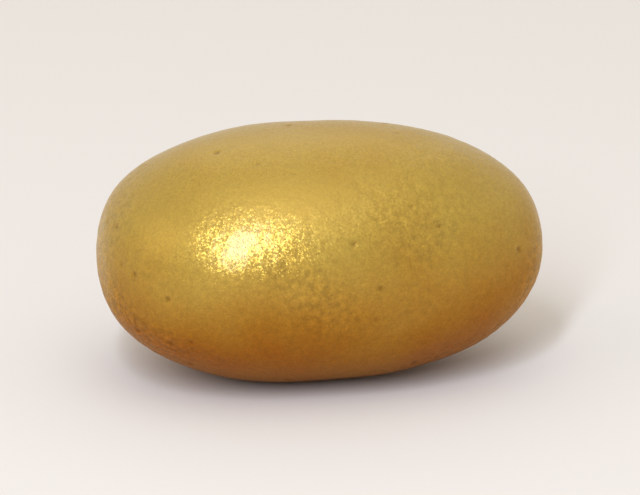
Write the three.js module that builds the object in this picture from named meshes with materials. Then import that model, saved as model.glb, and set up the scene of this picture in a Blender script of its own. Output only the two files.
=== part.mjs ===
// One sugared almond: a whole almond under a hard, panned sugar shell, as a single solid.
// It lies on its broad side, in millimetres with +Z up, and +X points to its narrower end.
// The origin is on the table, under the middle of its box.

import * as THREE from 'three';
import { mergeVertices } from 'three/addons/utils/BufferGeometryUtils.js';

// Driving dimensions, measured over the shell
const LENGTH = 32;
const WIDTH = 22;
const THICKNESS = 18;

// Fullness of an outline: 2 is a plain ellipse, and more is blunter, as the sugar builds up at the ends
const PROFILE_FULLNESS = 2.35;
const SECTION_FULLNESS = 2.1;

// Share of the width that both ends lose, as the broad outline is rounder than the side one
const END_SLIMMING = 0.07;

// Share of a size that the narrow end loses and the blunt end gains
const WIDTH_TAPER = 0.12;
const CROWN_TAPER = 0.03;
const BELLY_TAPER = 0.03;

// Share by which the left flank, at +Y, is fuller than the right one
const FLANK_BIAS = 0.02;

// Low, uneven swells of the shell: long waves that cross it in evenly spread directions
const SWELLS = 9;
const SWELL_HEIGHT = 0.06;
const SWELL_LENGTH = 9.5;
const SWELL_SPREAD = 0.28;
const SWELL_STEP = 2.4;

// The shell is rubbed flat where it rests
const REST_FLAT_DEPTH = 0.14;

// Rows of triangles across each of the twenty faces of the icosahedron that the ball starts as
const FACE_ROWS = 16;

const LUSTRE = { color: 0xc3a250, roughness: 0.42, metalness: 0.7 };

// A point of the smooth shell in one direction from its centre: a blunt oval, narrower towards +X.
function shellPoint(direction) {
  const { x, y, z } = direction;
  const section = Math.pow(Math.abs(y), SECTION_FULLNESS) + Math.pow(Math.abs(z), SECTION_FULLNESS);
  const profile =
    Math.pow(Math.abs(x), PROFILE_FULLNESS) + Math.pow(section, PROFILE_FULLNESS / SECTION_FULLNESS);
  const unit = direction.clone().multiplyScalar(Math.pow(profile, -1 / PROFILE_FULLNESS));
  const heightTaper = unit.z > 0 ? CROWN_TAPER : BELLY_TAPER;
  const widthShare = 1 - WIDTH_TAPER * unit.x - END_SLIMMING * unit.x ** 2;
  const flankShare = 1 + FLANK_BIAS * Math.sign(unit.y) * unit.y ** 2;
  return new THREE.Vector3(
    (unit.x * LENGTH) / 2,
    ((unit.y * WIDTH) / 2) * widthShare * flankShare,
    ((unit.z * THICKNESS) / 2) * (1 - heightTaper * unit.x)
  );
}

// The way out of the shell at a point, taken from the plain ellipsoid of the same size.
function outward(point) {
  return new THREE.Vector3(
    point.x / LENGTH ** 2,
    point.y / WIDTH ** 2,
    point.z / THICKNESS ** 2
  ).normalize();
}

// Height of the swells at a point.
function swellAt(point) {
  const goldenAngle = Math.PI * (3 - Math.sqrt(5));
  const crossing = new THREE.Vector3();
  let height = 0;
  for (let i = 0; i < SWELLS; i++) {
    const polar = Math.acos(1 - (2 * i + 1) / SWELLS);
    crossing.setFromSphericalCoords(1, polar, goldenAngle * i);
    const wavelength = SWELL_LENGTH * (1 + SWELL_SPREAD * Math.cos(SWELL_STEP * i));
    height += Math.sin((2 * Math.PI * point.dot(crossing)) / wavelength + SWELL_STEP * i);
  }
  return (SWELL_HEIGHT * height) / Math.sqrt(SWELLS);
}

// Even triangles all over a ball, with the shared corners merged.
function evenBall() {
  const ball = new THREE.IcosahedronGeometry(1, FACE_ROWS - 1);
  ball.deleteAttribute('normal');
  ball.deleteAttribute('uv');
  return mergeVertices(ball);
}

// Moves the shell up and sideways, so that its box stands on the table, centred on the origin.
function standOnTable(geometry) {
  geometry.computeBoundingBox();
  const { min, max } = geometry.boundingBox;
  geometry.translate(-(min.x + max.x) / 2, -(min.y + max.y) / 2, -min.z - REST_FLAT_DEPTH);
  const corners = geometry.getAttribute('position');
  for (let i = 0; i < corners.count; i++) {
    corners.setZ(i, Math.max(corners.getZ(i), 0));
  }
}

function makeShell() {
  const geometry = evenBall();
  const corners = geometry.getAttribute('position');
  const direction = new THREE.Vector3();
  for (let i = 0; i < corners.count; i++) {
    direction.fromBufferAttribute(corners, i).normalize();
    const point = shellPoint(direction);
    point.addScaledVector(outward(point), swellAt(point));
    corners.setXYZ(i, point.x, point.y, point.z);
  }
  standOnTable(geometry);
  geometry.computeVertexNormals();
  return geometry;
}

const almond = new THREE.Mesh(makeShell(), new THREE.MeshStandardMaterial(LUSTRE));
almond.name = 'sugared_almond';

const part = new THREE.Group();
part.add(almond);

export default part;
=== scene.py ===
"""A gold sugared almond on a pale floor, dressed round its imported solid."""

import math

import bmesh
import bpy
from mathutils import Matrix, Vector, noise


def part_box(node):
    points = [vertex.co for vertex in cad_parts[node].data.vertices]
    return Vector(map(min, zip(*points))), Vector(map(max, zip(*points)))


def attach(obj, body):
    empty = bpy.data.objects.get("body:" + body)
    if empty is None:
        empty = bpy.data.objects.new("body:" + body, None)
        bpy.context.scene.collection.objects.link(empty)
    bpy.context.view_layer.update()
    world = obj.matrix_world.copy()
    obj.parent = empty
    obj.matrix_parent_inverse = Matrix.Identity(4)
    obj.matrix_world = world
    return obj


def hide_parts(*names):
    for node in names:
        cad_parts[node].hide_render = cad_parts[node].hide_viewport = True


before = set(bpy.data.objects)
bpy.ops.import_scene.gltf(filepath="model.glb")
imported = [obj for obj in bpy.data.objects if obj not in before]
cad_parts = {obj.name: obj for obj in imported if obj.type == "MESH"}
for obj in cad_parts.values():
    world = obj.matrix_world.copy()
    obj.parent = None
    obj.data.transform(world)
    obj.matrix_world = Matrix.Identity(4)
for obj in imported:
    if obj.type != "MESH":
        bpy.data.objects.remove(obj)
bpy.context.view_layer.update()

# Sugar shell: a whole almond is tumbled in a hot pan while sugar syrup dries on it in coats. This leaves a
# hard, plump shell with low waves, patches of orange peel and a few pits. A coat of gold mica dust ends
# it, and lies in thick and thin clouds.
MM = 0.001
ALMOND_NODE = "sugared_almond"
WELD_GAP = 0.001 * MM
FACET_CUTS = 5
ROUNDING_PASSES = 40
ROUNDING_STEP = 0.5

WAVE_LENGTH = 4.2 * MM
WAVE_HEIGHT = 0.05 * MM
PEEL_DATA = "peel"
PEEL_LENGTH = 0.7 * MM
PEEL_HEIGHT = 0.025 * MM
PEEL_PATCH = 8.0 * MM
PEEL_START = -0.25
PEEL_FULL = 0.15
PEEL_SHIFT = Vector((11.1, 11.5, 2.5))
SMOOTH_PATCH_PEEL = 0.3
PIT_DATA = "pit"
PIT_SPACING = 2.6 * MM
PIT_RADIUS = 0.34 * MM
PIT_BOTTOM = 0.2 * PIT_RADIUS
PIT_DEPTH = 0.08 * MM
CLOUD_DATA = "cloud"
CLOUD_SIZE = 7.0 * MM
CLOUD_SHIFT = Vector((30.2, 16.0, 32.2))
CLOUD_OCTAVES = 3
OCTAVE_FINER = 2.0
OCTAVE_FADE = 1.0


def smooth_step(value, low, high):
    """0 below low and 1 above high, with a soft change between them."""
    share = min(max((value - low) / (high - low), 0.0), 1.0)
    return share * share * (3.0 - 2.0 * share)


def peel_share(place):
    """1 in a patch of orange peel and 0 in a smooth patch."""
    return smooth_step(noise.noise(place / PEEL_PATCH + PEEL_SHIFT), PEEL_START, PEEL_FULL)


def pit_share(place):
    """1 in the middle of a pit and 0 outside it."""
    to_pit = noise.voronoi(place / PIT_SPACING)[0][0] * PIT_SPACING
    return 1.0 - smooth_step(to_pit, PIT_BOTTOM, PIT_RADIUS)


def dust_cloud(place):
    """Above 0 where the mica lies thick and below 0 where it lies thin."""
    return noise.fractal(place / CLOUD_SIZE + CLOUD_SHIFT, OCTAVE_FADE, OCTAVE_FINER, CLOUD_OCTAVES)


def shell_relief(place, peel, pit):
    """Height of the shell's waves, orange peel and pits at a place on it, in metres."""
    waves = WAVE_HEIGHT * noise.noise(place / WAVE_LENGTH)
    dimples = PEEL_HEIGHT * noise.noise(place / PEEL_LENGTH + PEEL_SHIFT)
    patch = SMOOTH_PATCH_PEEL + (1.0 - SMOOTH_PATCH_PEEL) * peel
    return waves + dimples * patch - PIT_DEPTH * pit


shell = bmesh.new()
shell.from_mesh(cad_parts[ALMOND_NODE].data)
bmesh.ops.remove_doubles(shell, verts=shell.verts, dist=WELD_GAP)
bmesh.ops.subdivide_edges(shell, edges=shell.edges, cuts=FACET_CUTS, use_grid_fill=True)
for _ in range(ROUNDING_PASSES):
    bmesh.ops.smooth_vert(
        shell, verts=shell.verts, factor=ROUNDING_STEP, use_axis_x=True, use_axis_y=True, use_axis_z=True
    )
shell.normal_update()
almond_low, almond_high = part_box(ALMOND_NODE)
peel_layer = shell.verts.layers.float.new(PEEL_DATA)
pit_layer = shell.verts.layers.float.new(PIT_DATA)
cloud_layer = shell.verts.layers.float.new(CLOUD_DATA)

# The relief, and each corner's peel, pit and cloud for the material. None of it reaches below the flat.
for corner in shell.verts:
    corner[peel_layer] = peel_share(corner.co)
    corner[pit_layer] = pit_share(corner.co)
    corner[cloud_layer] = dust_cloud(corner.co)
    corner.co += corner.normal * shell_relief(corner.co, corner[peel_layer], corner[pit_layer])
    corner.co.z = max(corner.co.z, almond_low.z)
for face in shell.faces:
    face.smooth = True
shell_mesh = bpy.data.meshes.new("sugar_shell")
shell.to_mesh(shell_mesh)
shell.free()
almond = bpy.data.objects.new("sugar_shell", shell_mesh)
bpy.context.scene.collection.objects.link(almond)


def linear_colour(hex_code):
    """An sRGB hex colour as linear red, green, blue and alpha."""
    channels = [int(hex_code[i : i + 2], 16) / 255 for i in (1, 3, 5)]
    return [c / 12.92 if c <= 0.04045 else ((c + 0.055) / 1.055) ** 2.4 for c in channels] + [1.0]


def add_node(tree, kind, settings, links):
    """Adds a node to a material, with its properties and sockets set, and its inputs linked."""
    node = tree.nodes.new(kind)
    for name, value in settings.items():
        if isinstance(name, str) and hasattr(node, name):
            setattr(node, name, value)
        else:
            node.inputs[name].default_value = value
    for name, source in links.items():
        tree.links.new(source, node.inputs[name])
    return node


# Gold mica lustre: edible mica flakes coated with titanium and iron oxides, dusted on wet and glazed.
# Flakes that lie nearly flat give a satin gold and a wide, sparkling highlight. The duller amber undercoat
# shows in thin clouds and in pits, and it is painted in towards the underside as shade, where the glaze
# thins as well. The orange peel looks speckled.
UNDERCOAT_AND_SHADE = "#935108"
FULL_LUSTRE = "#ab8b34"
GLINT = "#ffe690"
# Painted shade: between these heights the cover rises, leaving the lower part amber and darker.
SHADE_PAINT_LOW = 0.1 * almond_high.z
SHADE_PAINT_HIGH = 0.82 * almond_high.z
DUST_COVER = 0.8
CLOUD_COVER = 0.16
BARE_METALLIC = 0.5
DUSTED_METALLIC = 0.55
BARE_ROUGHNESS = 0.38
DUSTED_ROUGHNESS = 0.32
SUGAR_IOR = 1.5
GLAZE_LOW = 0.25
GLAZE_HIGH = 0.85
GLAZE = 0.66
GLAZE_ROUGHNESS = 0.25
GLAZE_IOR = 1.45
GRAIN_SIZE = 0.5 * MM
GRAIN_OCTAVES = 3.0
GRAIN_FADE = 0.6
GRAIN_HEIGHT = 0.035 * MM
SPECKLE = 1.8
SMOOTH_PATCH_SPECKLE = 0.25
TOP_SPECKLE = 0.2
TOP_LOW = 0.55 * almond_high.z
TOP_HIGH = 0.85 * almond_high.z
PIT_BARENESS = 0.12
# Pits are darkened by brown that collects in them and by painted shade.
PIT_BROWN_AND_SHADE = 0.33

# Real flakes are about 0.03 mm across. That is too fine to show, so they are drawn coarser.
FLAKE_SIZE = 0.11 * MM
FLAKE_SHADE = 0.14
FLAKE_TILT = 0.3
SMOOTH_PATCH_TILT = 0.45


def gold_mica_lustre():
    """The lustre's material. It reads the peel, pits and clouds from the shell's corners."""
    material = bpy.data.materials.new("gold_mica_lustre")
    material.use_nodes = True
    tree = material.node_tree
    tree.nodes.clear()
    place = add_node(tree, "ShaderNodeTexCoord", {}, {}).outputs["Object"]
    height = add_node(tree, "ShaderNodeSeparateXYZ", {}, {"Vector": place}).outputs["Z"]
    peel = add_node(tree, "ShaderNodeAttribute", {"attribute_name": PEEL_DATA}, {}).outputs["Fac"]
    pit = add_node(tree, "ShaderNodeAttribute", {"attribute_name": PIT_DATA}, {}).outputs["Fac"]
    cloud = add_node(tree, "ShaderNodeAttribute", {"attribute_name": CLOUD_DATA}, {}).outputs["Fac"]

    # How much of the undercoat the dust covers: less in the pits, and more towards the top, which is
    # painted shade that leaves the lower part amber and darker
    painted_shade_cover = add_node(
        tree,
        "ShaderNodeMapRange",
        {
            "interpolation_type": "SMOOTHSTEP",
            "From Min": SHADE_PAINT_LOW,
            "From Max": SHADE_PAINT_HIGH,
            "To Max": DUST_COVER,
        },
        {"Value": height},
    ).outputs[0]
    clouded = add_node(
        tree, "ShaderNodeMath", {"operation": "MULTIPLY_ADD", 1: CLOUD_COVER}, {0: cloud, 2: painted_shade_cover}
    ).outputs[0]
    cover_and_painted_shade = add_node(
        tree, "ShaderNodeMath", {"operation": "MULTIPLY_ADD", 1: -PIT_BARENESS}, {0: pit, 2: clouded}
    ).outputs[0]
    tone = add_node(tree, "ShaderNodeValToRGB", {}, {"Fac": cover_and_painted_shade})
    stops = tone.color_ramp.elements
    stops[0].position, stops[0].color = 0.0, linear_colour(UNDERCOAT_AND_SHADE)
    stops[1].position, stops[1].color = DUST_COVER, linear_colour(FULL_LUSTRE)

    # Light and dark grains, strongest in the orange peel and faint on top
    grain = add_node(
        tree,
        "ShaderNodeTexNoise",
        {"Scale": 1 / GRAIN_SIZE, "Detail": GRAIN_OCTAVES, "Roughness": GRAIN_FADE},
        {"Vector": place},
    ).outputs["Fac"]
    grain_lean = add_node(tree, "ShaderNodeMath", {"operation": "SUBTRACT", 1: 0.5}, {0: grain}).outputs[0]
    patch_speckle = add_node(
        tree,
        "ShaderNodeMapRange",
        {"To Min": SMOOTH_PATCH_SPECKLE * SPECKLE, "To Max": SPECKLE},
        {"Value": peel},
    ).outputs[0]
    height_speckle = add_node(
        tree,
        "ShaderNodeMapRange",
        {"From Min": TOP_LOW, "From Max": TOP_HIGH, "To Min": 1.0, "To Max": TOP_SPECKLE},
        {"Value": height},
    ).outputs[0]
    speckle = add_node(
        tree, "ShaderNodeMath", {"operation": "MULTIPLY"}, {0: patch_speckle, 1: height_speckle}
    ).outputs[0]
    grain_shade = add_node(
        tree, "ShaderNodeMath", {"operation": "MULTIPLY_ADD", 2: 1.0}, {0: grain_lean, 1: speckle}
    ).outputs[0]

    # Each flake is a little lighter or darker than the next, and the pits are darkened by brown that
    # collects in them and by painted shade
    flake = add_node(
        tree, "ShaderNodeTexVoronoi", {"Scale": 1 / FLAKE_SIZE}, {"Vector": place}
    ).outputs["Color"]
    flake_shade = add_node(
        tree,
        "ShaderNodeMapRange",
        {"To Min": 1.0 - FLAKE_SHADE, "To Max": 1.0 + FLAKE_SHADE},
        {"Value": flake},
    ).outputs[0]
    pit_brown_and_shade = add_node(
        tree, "ShaderNodeMapRange", {"To Min": 1.0, "To Max": 1.0 - PIT_BROWN_AND_SHADE}, {"Value": pit}
    ).outputs[0]
    level_shade = add_node(
        tree, "ShaderNodeMath", {"operation": "MULTIPLY"}, {0: grain_shade, 1: flake_shade}
    ).outputs[0]
    shade = add_node(
        tree, "ShaderNodeMath", {"operation": "MULTIPLY"}, {0: level_shade, 1: pit_brown_and_shade}
    ).outputs[0]
    colour = add_node(
        tree, "ShaderNodeHueSaturation", {}, {"Color": tone.outputs["Color"], "Value": shade}
    ).outputs["Color"]

    # The glaze follows the grains, and each flake under it leans its own way
    grain_bump = add_node(
        tree, "ShaderNodeBump", {"Distance": GRAIN_HEIGHT}, {"Height": grain}
    ).outputs["Normal"]
    flake_way = add_node(
        tree, "ShaderNodeVectorMath", {"operation": "SUBTRACT", 1: (0.5, 0.5, 0.5)}, {0: flake}
    ).outputs[0]
    patch_tilt = add_node(
        tree,
        "ShaderNodeMapRange",
        {"To Min": SMOOTH_PATCH_TILT * FLAKE_TILT, "To Max": FLAKE_TILT},
        {"Value": peel},
    ).outputs[0]
    tilt = add_node(
        tree, "ShaderNodeVectorMath", {"operation": "SCALE"}, {0: flake_way, "Scale": patch_tilt}
    ).outputs[0]
    flake_lean = add_node(
        tree, "ShaderNodeVectorMath", {"operation": "ADD"}, {0: grain_bump, 1: tilt}
    ).outputs[0]
    flake_normal = add_node(
        tree, "ShaderNodeVectorMath", {"operation": "NORMALIZE"}, {0: flake_lean}
    ).outputs[0]

    # Half of the light meets metal-like flakes and the rest the sugar between them
    metallic = add_node(
        tree,
        "ShaderNodeMapRange",
        {"To Min": BARE_METALLIC, "To Max": DUSTED_METALLIC},
        {"Value": cover_and_painted_shade},
    ).outputs[0]
    roughness = add_node(
        tree,
        "ShaderNodeMapRange",
        {"To Min": BARE_ROUGHNESS, "To Max": DUSTED_ROUGHNESS},
        {"Value": cover_and_painted_shade},
    ).outputs[0]
    glaze = add_node(
        tree,
        "ShaderNodeMapRange",
        {"From Min": GLAZE_LOW, "From Max": GLAZE_HIGH, "To Max": GLAZE},
        {"Value": cover_and_painted_shade},
    ).outputs[0]
    finish = add_node(
        tree,
        "ShaderNodeBsdfPrincipled",
        {
            "IOR": SUGAR_IOR,
            "Specular Tint": linear_colour(GLINT),
            "Coat Roughness": GLAZE_ROUGHNESS,
            "Coat IOR": GLAZE_IOR,
        },
        {
            "Base Color": colour,
            "Metallic": metallic,
            "Roughness": roughness,
            "Normal": flake_normal,
            "Coat Weight": glaze,
            "Coat Normal": grain_bump,
        },
    ).outputs["BSDF"]
    add_node(tree, "ShaderNodeOutputMaterial", {}, {"Surface": finish})
    return material


shell_mesh.materials.append(gold_mica_lustre())
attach(almond, "root")
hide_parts(ALMOND_NODE)

# Floor
# A wide sheet of off-white card, laid flat under the almond. Unglazed card is pressed from fibre, so it
# is matt: it takes a soft shadow and mirrors nothing.
FLOOR_HALF = 0.8
OFF_WHITE = "#d3cdc4"
CARD_ROUGHNESS = 0.8
CARD_SHINE = 0.2

floor_grid = bmesh.new()
bmesh.ops.create_grid(floor_grid, x_segments=1, y_segments=1, size=FLOOR_HALF)
floor_mesh = bpy.data.meshes.new("floor")
floor_grid.to_mesh(floor_mesh)
floor_grid.free()
floor = bpy.data.objects.new("floor", floor_mesh)
bpy.context.scene.collection.objects.link(floor)


def matt_card():
    """The floor's material: one even colour, with hardly any shine."""
    material = bpy.data.materials.new("matt_card")
    material.use_nodes = True
    card = material.node_tree.nodes["Principled BSDF"]
    card.inputs["Base Color"].default_value = linear_colour(OFF_WHITE)
    card.inputs["Roughness"].default_value = CARD_ROUGHNESS
    card.inputs["Specular IOR Level"].default_value = CARD_SHINE
    return material


floor_mesh.materials.append(matt_card())

# Camera
# It looks down by 18 degrees, from a little to the left, through a long lens.
CAMERA_AZIMUTH = math.radians(-9)
CAMERA_ELEVATION = math.radians(18)
CAMERA_DISTANCE = 0.5
FRAME_SHARE = 0.7
SENSOR_WIDTH = 36.0
NEAREST_SEEN = 0.01


def direction_from(azimuth, elevation):
    """The way from the almond towards a place at these angles, where azimuth 0 is straight in front."""
    level = math.cos(elevation)
    return Vector((math.sin(azimuth) * level, -math.cos(azimuth) * level, math.sin(elevation)))


almond_middle = (almond_low + almond_high) / 2
towards_camera = direction_from(CAMERA_AZIMUTH, CAMERA_ELEVATION)
camera_data = bpy.data.cameras.new("camera")
camera_data.sensor_width = SENSOR_WIDTH
camera_data.lens = SENSOR_WIDTH * FRAME_SHARE * CAMERA_DISTANCE / (almond_high.x - almond_low.x)
camera_data.clip_start = NEAREST_SEEN
camera = bpy.data.objects.new("camera", camera_data)
camera.location = almond_middle + towards_camera * CAMERA_DISTANCE
camera.rotation_euler = (-towards_camera).to_track_quat("-Z", "Y").to_euler()
bpy.context.scene.collection.objects.link(camera)
bpy.context.scene.camera = camera

# Studio light
# A tall, narrow soft box left of the camera draws the highlight. Wide, weak ones in front, above, behind
# and at the left fill the shadows, and so does the white room all round.
DAYLIGHT = "#d9e6ff"
WARM_WHITE = "#fffdf9"
CREAM_WHITE = "#ffe4bd"
ROOM_WHITE = "#fffaf5"
ROOM_STRENGTH = 0.78


def add_soft_box(name, azimuth, elevation, distance, width, height, watts, colour):
    """Adds a soft box at a distance from the almond, at two angles in degrees, facing it."""
    data = bpy.data.lights.new(name, "AREA")
    data.shape = "RECTANGLE"
    data.size = width
    data.size_y = height
    data.energy = watts
    data.color = linear_colour(colour)[:3]
    box = bpy.data.objects.new(name, data)
    direction = direction_from(math.radians(azimuth), math.radians(elevation))
    box.location = almond_middle + direction * distance
    box.rotation_euler = (-direction).to_track_quat("-Z", "Y").to_euler()
    bpy.context.scene.collection.objects.link(box)


add_soft_box(
    "key_soft_box", azimuth=-22, elevation=38, distance=0.6, width=0.05, height=0.4,
    watts=3.4, colour=DAYLIGHT,
)
add_soft_box(
    "front_soft_box", azimuth=-9, elevation=60, distance=0.7, width=0.5, height=0.5,
    watts=0.35, colour=WARM_WHITE,
)
add_soft_box(
    "top_soft_box", azimuth=0, elevation=80, distance=0.7, width=0.6, height=0.6,
    watts=0.6, colour=WARM_WHITE,
)
add_soft_box(
    "left_soft_box", azimuth=-80, elevation=30, distance=0.7, width=0.5, height=0.5,
    watts=0.45, colour=CREAM_WHITE,
)
add_soft_box(
    "back_soft_box", azimuth=171, elevation=45, distance=0.7, width=0.5, height=0.5,
    watts=0.25, colour=WARM_WHITE,
)

world = bpy.data.worlds.new("studio")
world.use_nodes = True
world.node_tree.nodes["Background"].inputs["Color"].default_value = linear_colour(ROOM_WHITE)
world.node_tree.nodes["Background"].inputs["Strength"].default_value = ROOM_STRENGTH
bpy.context.scene.world = world
bpy.context.scene.view_settings.view_transform = "Standard"
